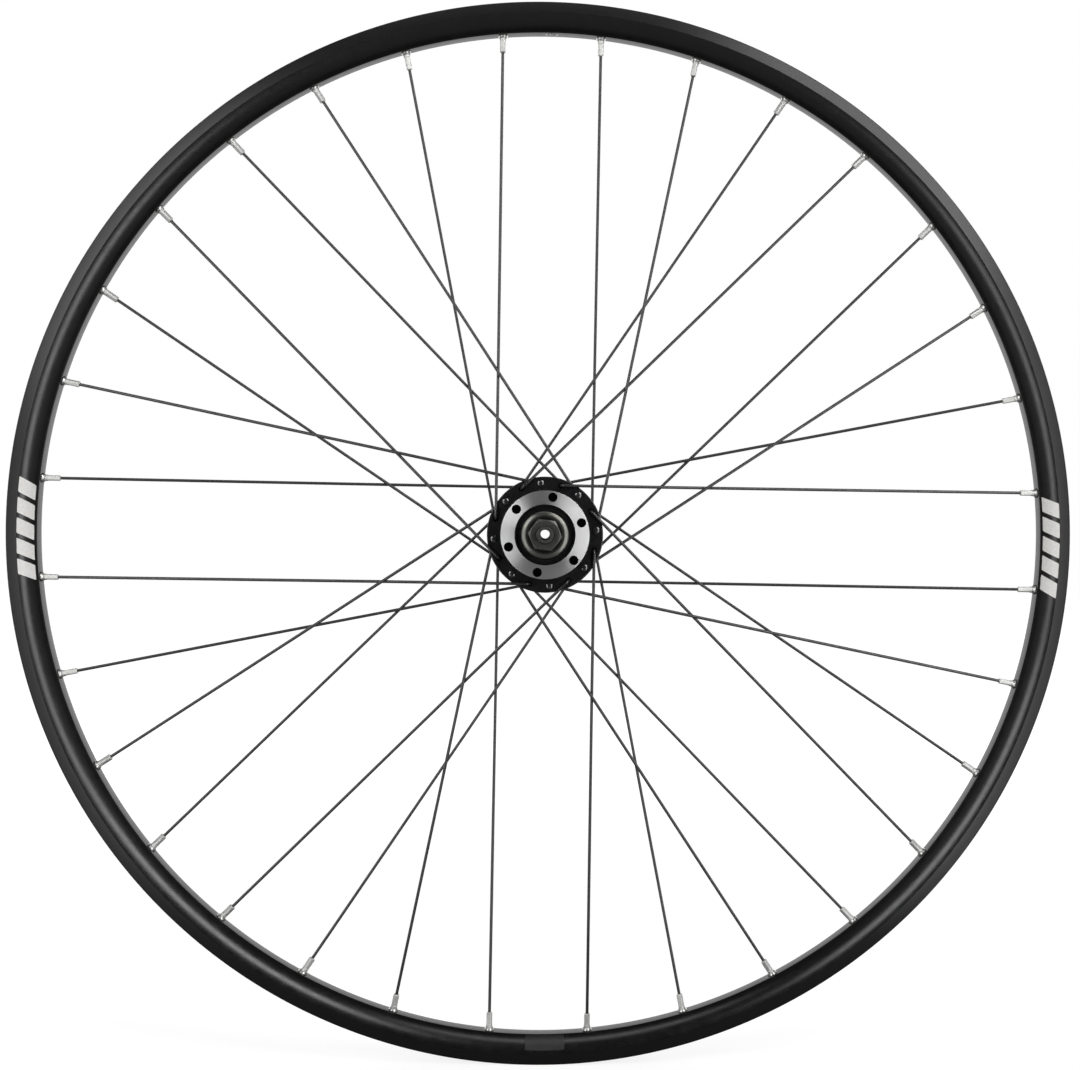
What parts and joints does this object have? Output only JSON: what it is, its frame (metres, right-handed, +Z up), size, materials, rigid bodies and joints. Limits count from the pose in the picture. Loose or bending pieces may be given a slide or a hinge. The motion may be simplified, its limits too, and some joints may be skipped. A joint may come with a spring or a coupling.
{
  "type": "bicycle wheel",
  "caption": "Spoked rear bicycle wheel without a tyre: hollow rim laced to a disc brake hub with a splined freehub, turning on a hollow quick-release axle.",
  "frame": {"origin": "centre of the wheel, on the spin axis midway between the locknut faces and in the rim's centre plane", "axes": "+Y along the spin axis from the brake disc side to the freehub side, +Z up to the valve hole, +X to the right seen from the disc side"},
  "size_m": [0.634, 0.146, 0.6339],
  "materials": {
    "rim_black": "satin black anodised",
    "spoke_black": "black coated stainless wire",
    "eyelet_silver": "bright plated steel",
    "nipple_silver": "bright nickel plated",
    "hub_black": "gloss black anodised, disc face machined bare",
    "bearing_steel": "ground steel with sealed faces",
    "axle_steel": "dark oiled steel",
    "cap_dark": "dark polished",
    "nut_steel": "dark plated steel",
    "freehub_steel": "matt plated steel"
  },
  "bodies": {
    "axle": {"axle": "axle_steel", "left_end_cap": "cap_dark", "left_locknut": "nut_steel", "right_spacer": "nut_steel", "right_locknut": "nut_steel"},
    "wheel": {"rim": "rim_black", "eyelets": "eyelet_silver", "nipples": "nipple_silver", "hub_shell": "hub_black", "left_bearing": "bearing_steel", "right_bearing": "bearing_steel", "spoke_01": "spoke_black", "spoke_02": "spoke_black", "spoke_03": "spoke_black", "spoke_04": "spoke_black", "spoke_05": "spoke_black", "spoke_06": "spoke_black", "spoke_07": "spoke_black", "spoke_08": "spoke_black", "spoke_09": "spoke_black", "spoke_10": "spoke_black", "spoke_11": "spoke_black", "spoke_12": "spoke_black", "spoke_13": "spoke_black", "spoke_14": "spoke_black", "spoke_15": "spoke_black", "spoke_16": "spoke_black", "spoke_17": "spoke_black", "spoke_18": "spoke_black", "spoke_19": "spoke_black", "spoke_20": "spoke_black", "spoke_21": "spoke_black", "spoke_22": "spoke_black", "spoke_23": "spoke_black", "spoke_24": "spoke_black", "spoke_25": "spoke_black", "spoke_26": "spoke_black", "spoke_27": "spoke_black", "spoke_28": "spoke_black", "spoke_29": "spoke_black", "spoke_30": "spoke_black", "spoke_31": "spoke_black", "spoke_32": "spoke_black"},
    "freehub": {"freehub_body": "freehub_steel"}
  },
  "joints": [
    {"name": "wheel_spin", "type": "hinge", "parent": "axle", "child": "wheel", "pos_m": [0, 0, 0], "axis": [0, 1, 0], "continuous": true},
    {"name": "freehub_spin", "type": "hinge", "parent": "axle", "child": "freehub", "pos_m": [0, 0, 0], "axis": [0, 1, 0], "continuous": true}
  ]
}
